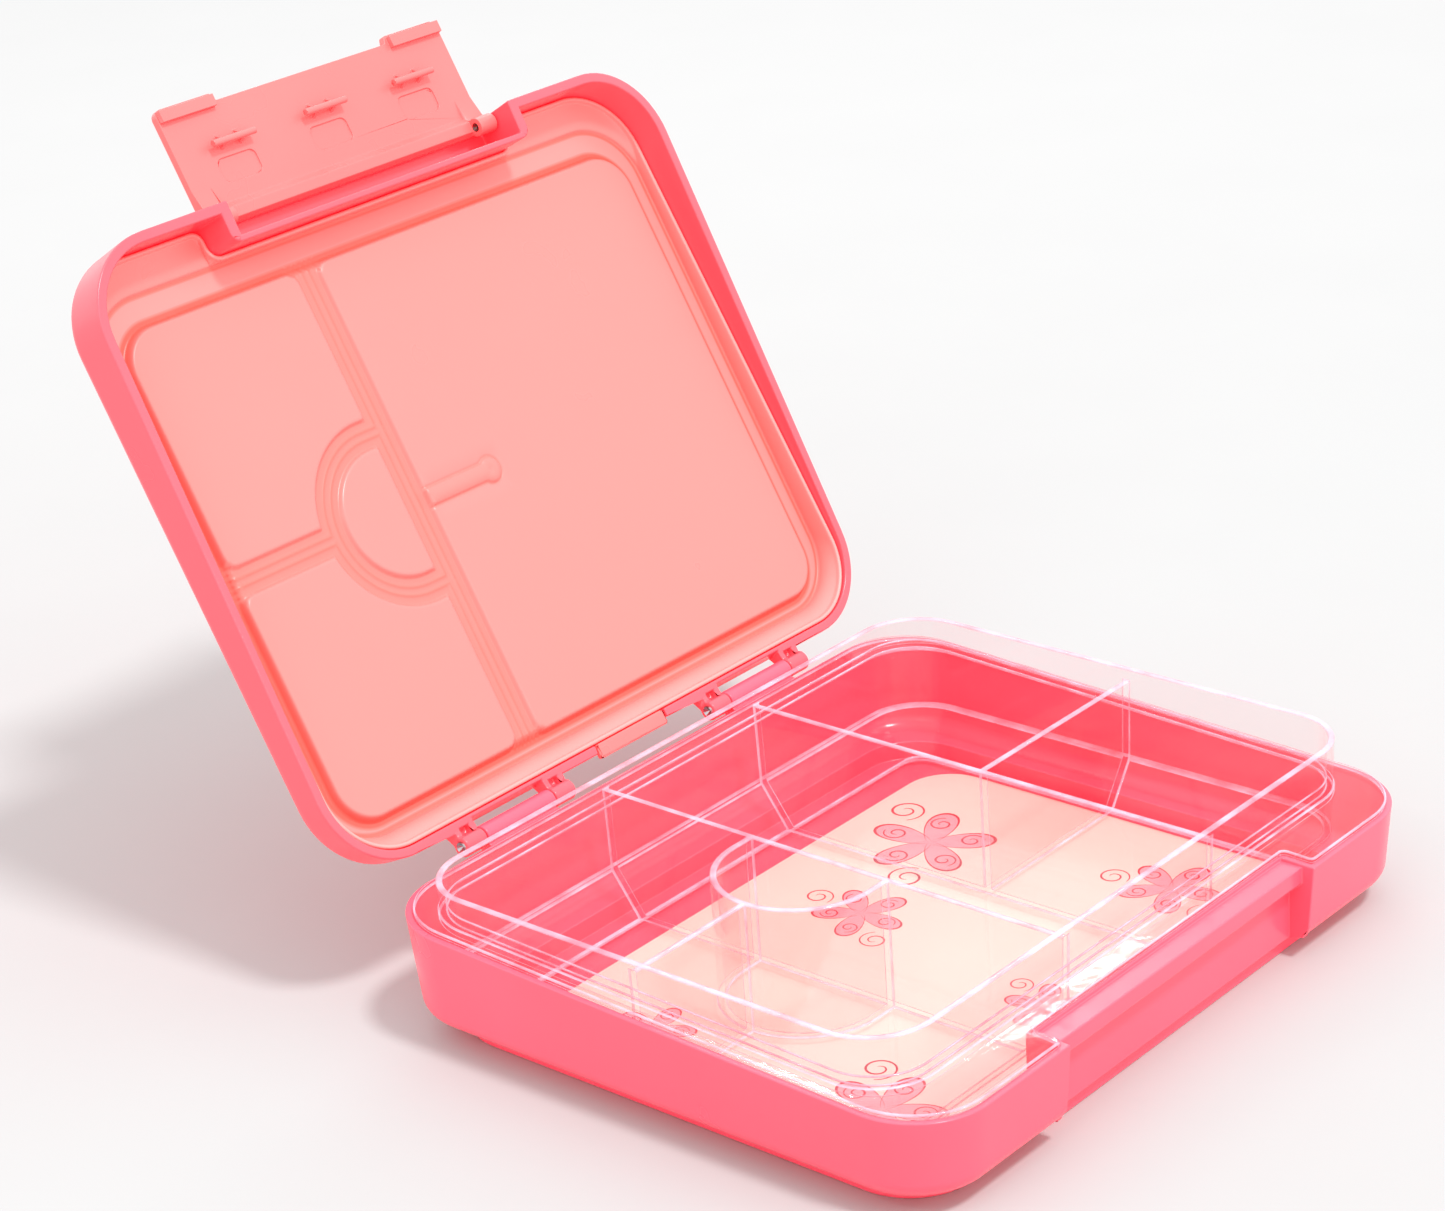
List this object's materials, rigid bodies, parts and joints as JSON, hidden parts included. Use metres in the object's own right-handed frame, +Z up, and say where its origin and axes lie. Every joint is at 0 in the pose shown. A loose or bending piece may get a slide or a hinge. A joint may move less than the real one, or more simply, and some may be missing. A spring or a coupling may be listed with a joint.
{
  "type": "lunch box",
  "caption": "Hinged bento lunch box with a divided lift-out tray, a soft seal in the lid and a front latch flap, modelled with its lid open.",
  "frame": {"origin": "centre of the foot's underside, on the surface the box stands on", "axes": "+X along the hinge, to the right when seen from the latch side; +Y from the latch side to the hinge side; +Z up"},
  "size_m": [0.2204, 0.2963, 0.2208],
  "materials": {
    "shell": "gloss",
    "clear": "clear gloss",
    "seal": "satin",
    "latch": "satin",
    "card": "matte",
    "steel": "brushed"
  },
  "bodies": {
    "base": {"base_shell": "shell", "card_liner": "card", "hinge_pin_left": "steel", "hinge_pin_right": "steel"},
    "tray": {"tray": "clear"},
    "lid": {"lid_shell": "shell", "latch_pin_left": "steel", "latch_pin_right": "steel"},
    "seal": {"lid_seal": "seal"},
    "tab": {"seal_pull_tab": "seal"},
    "latch": {"latch": "latch"}
  },
  "joints": [
    {"name": "lid_hinge", "type": "hinge", "parent": "base", "child": "lid", "pos_m": [0, 0.0945, 0.0371], "axis": [-1, 0, 0], "range_deg": [-119.2, 0]},
    {"name": "latch_hinge", "type": "hinge", "parent": "lid", "child": "latch", "pos_m": [0, 0.18412, 0.19253], "axis": [-1, 0, 0], "range_deg": [-90, 0]},
    {"name": "tray_lift", "type": "slide", "parent": "base", "child": "tray", "axis": [0, 0, 1], "range_m": [0, 0.06]},
    {"name": "seal_lift", "type": "slide", "parent": "lid", "child": "seal", "axis": [0, -0.8729, 0.4879], "range_m": [0, 0.02]},
    {"name": "seal_tab_bend", "type": "hinge", "parent": "seal", "child": "tab", "pos_m": [0, 0.09769, 0.04322], "axis": [-1, 0, 0], "range_deg": [0, 60]}
  ]
}
